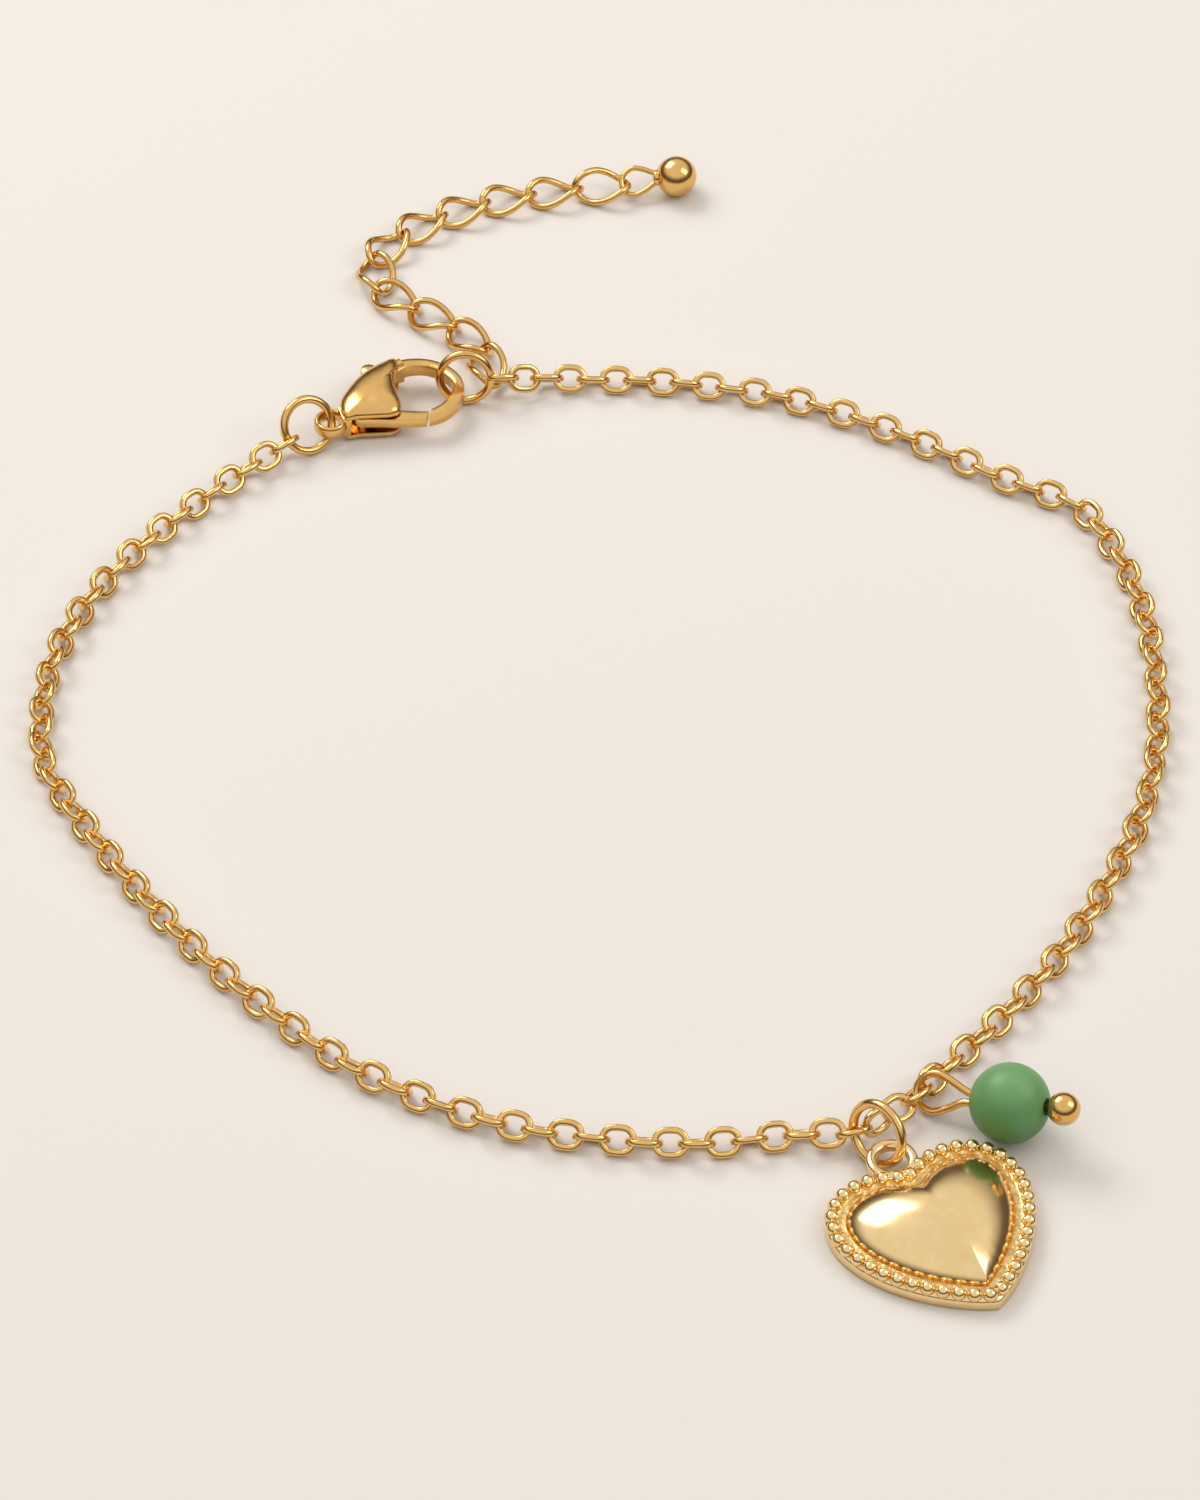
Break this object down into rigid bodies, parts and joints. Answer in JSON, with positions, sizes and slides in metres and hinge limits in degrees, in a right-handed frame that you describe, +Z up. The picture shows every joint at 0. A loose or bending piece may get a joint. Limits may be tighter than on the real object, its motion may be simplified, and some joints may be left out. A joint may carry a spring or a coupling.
{
  "type": "charm anklet",
  "caption": "Fine cable chain anklet with lobster clasp, curb extender ending in a ball, a puffed heart charm with beaded rim and a frosted stone bead on a head pin",
  "frame": {"origin": "centre of the bounding box in plan, at the surface the anklet lies on", "axes": "+Z up from the surface, -Y towards the charms, +X to the right of the loop seen from above with the extender at the far side"},
  "size_m": [0.0868, 0.1224, 0.0058],
  "materials": {
    "gold": "polished gold plate",
    "stone": "frosted green stone"
  },
  "bodies": {
    "frame": {"clasp_ring": "gold", "junction_ring": "gold", "heart_ring": "gold", "bead_pin": "gold", "stone_bead": "stone", "chain": "gold", "extender_link_01": "gold", "extender_link_02": "gold", "extender_link_03": "gold", "extender_link_04": "gold", "extender_link_05": "gold", "extender_link_06": "gold", "extender_link_07": "gold", "extender_link_08": "gold", "extender_link_09": "gold", "extender_link_10": "gold", "extender_link_11": "gold", "extender_ball": "gold", "heart_charm": "gold", "clasp_body": "gold"},
    "lever": {"clasp_lever": "gold"}
  },
  "joints": [
    {"name": "clasp_lever_hinge", "type": "hinge", "parent": "frame", "child": "lever", "pos_m": [-0.019, 0.02973, 0.00165], "axis": [0, 0, 1], "range_deg": [0, 24], "stiffness_Nm_per_rad": 0.0005}
  ]
}
